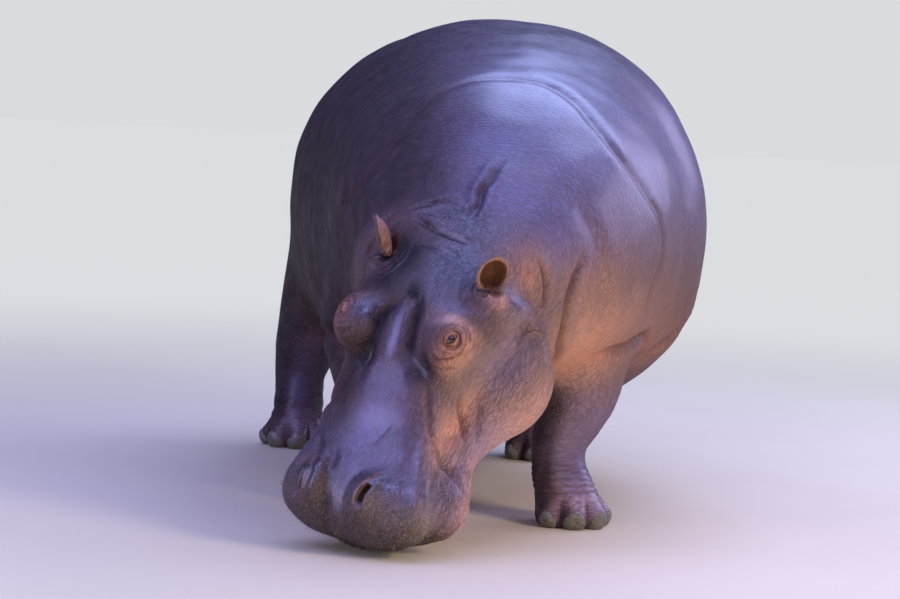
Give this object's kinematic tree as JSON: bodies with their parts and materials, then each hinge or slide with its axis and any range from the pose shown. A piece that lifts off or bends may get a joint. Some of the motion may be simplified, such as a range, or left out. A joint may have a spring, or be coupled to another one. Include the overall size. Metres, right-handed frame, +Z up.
{
  "type": "hippopotamus",
  "caption": "Life-size adult hippopotamus standing still with its head lowered and turned to its right, as if grazing.",
  "frame": {"origin": "on the floor, under the middle of the bounding box", "axes": "+Z up, the animal faces -Y, its left side is at +X"},
  "size_m": [1.3978, 2.8, 1.4417],
  "materials": {
    "hide": "wet, bare, finely wrinkled skin, mauve-brown above and salmon in the folds",
    "ear_skin": "thin bare skin with a salmon rim",
    "nail": "worn pale grey-green horn",
    "eye": "wet, very dark"
  },
  "bodies": {
    "root": {"head": "hide", "jaw": "hide", "neck": "hide", "trunk": "hide", "tail": "hide", "foreleg_left": "hide", "forefoot_left": "hide", "foreleg_right": "hide", "forefoot_right": "hide", "hindleg_left": "hide", "hindfoot_left": "hide", "hindleg_right": "hide", "hindfoot_right": "hide", "ear_left": "ear_skin", "ear_right": "ear_skin", "eye_left": "eye", "eye_right": "eye", "nail_forefoot_left_1": "nail", "nail_forefoot_left_2": "nail", "nail_forefoot_left_3": "nail", "nail_forefoot_left_4": "nail", "nail_forefoot_right_1": "nail", "nail_forefoot_right_2": "nail", "nail_forefoot_right_3": "nail", "nail_forefoot_right_4": "nail", "nail_hindfoot_left_1": "nail", "nail_hindfoot_left_2": "nail", "nail_hindfoot_left_3": "nail", "nail_hindfoot_left_4": "nail", "nail_hindfoot_right_1": "nail", "nail_hindfoot_right_2": "nail", "nail_hindfoot_right_3": "nail", "nail_hindfoot_right_4": "nail"}
  },
  "joints": []
}
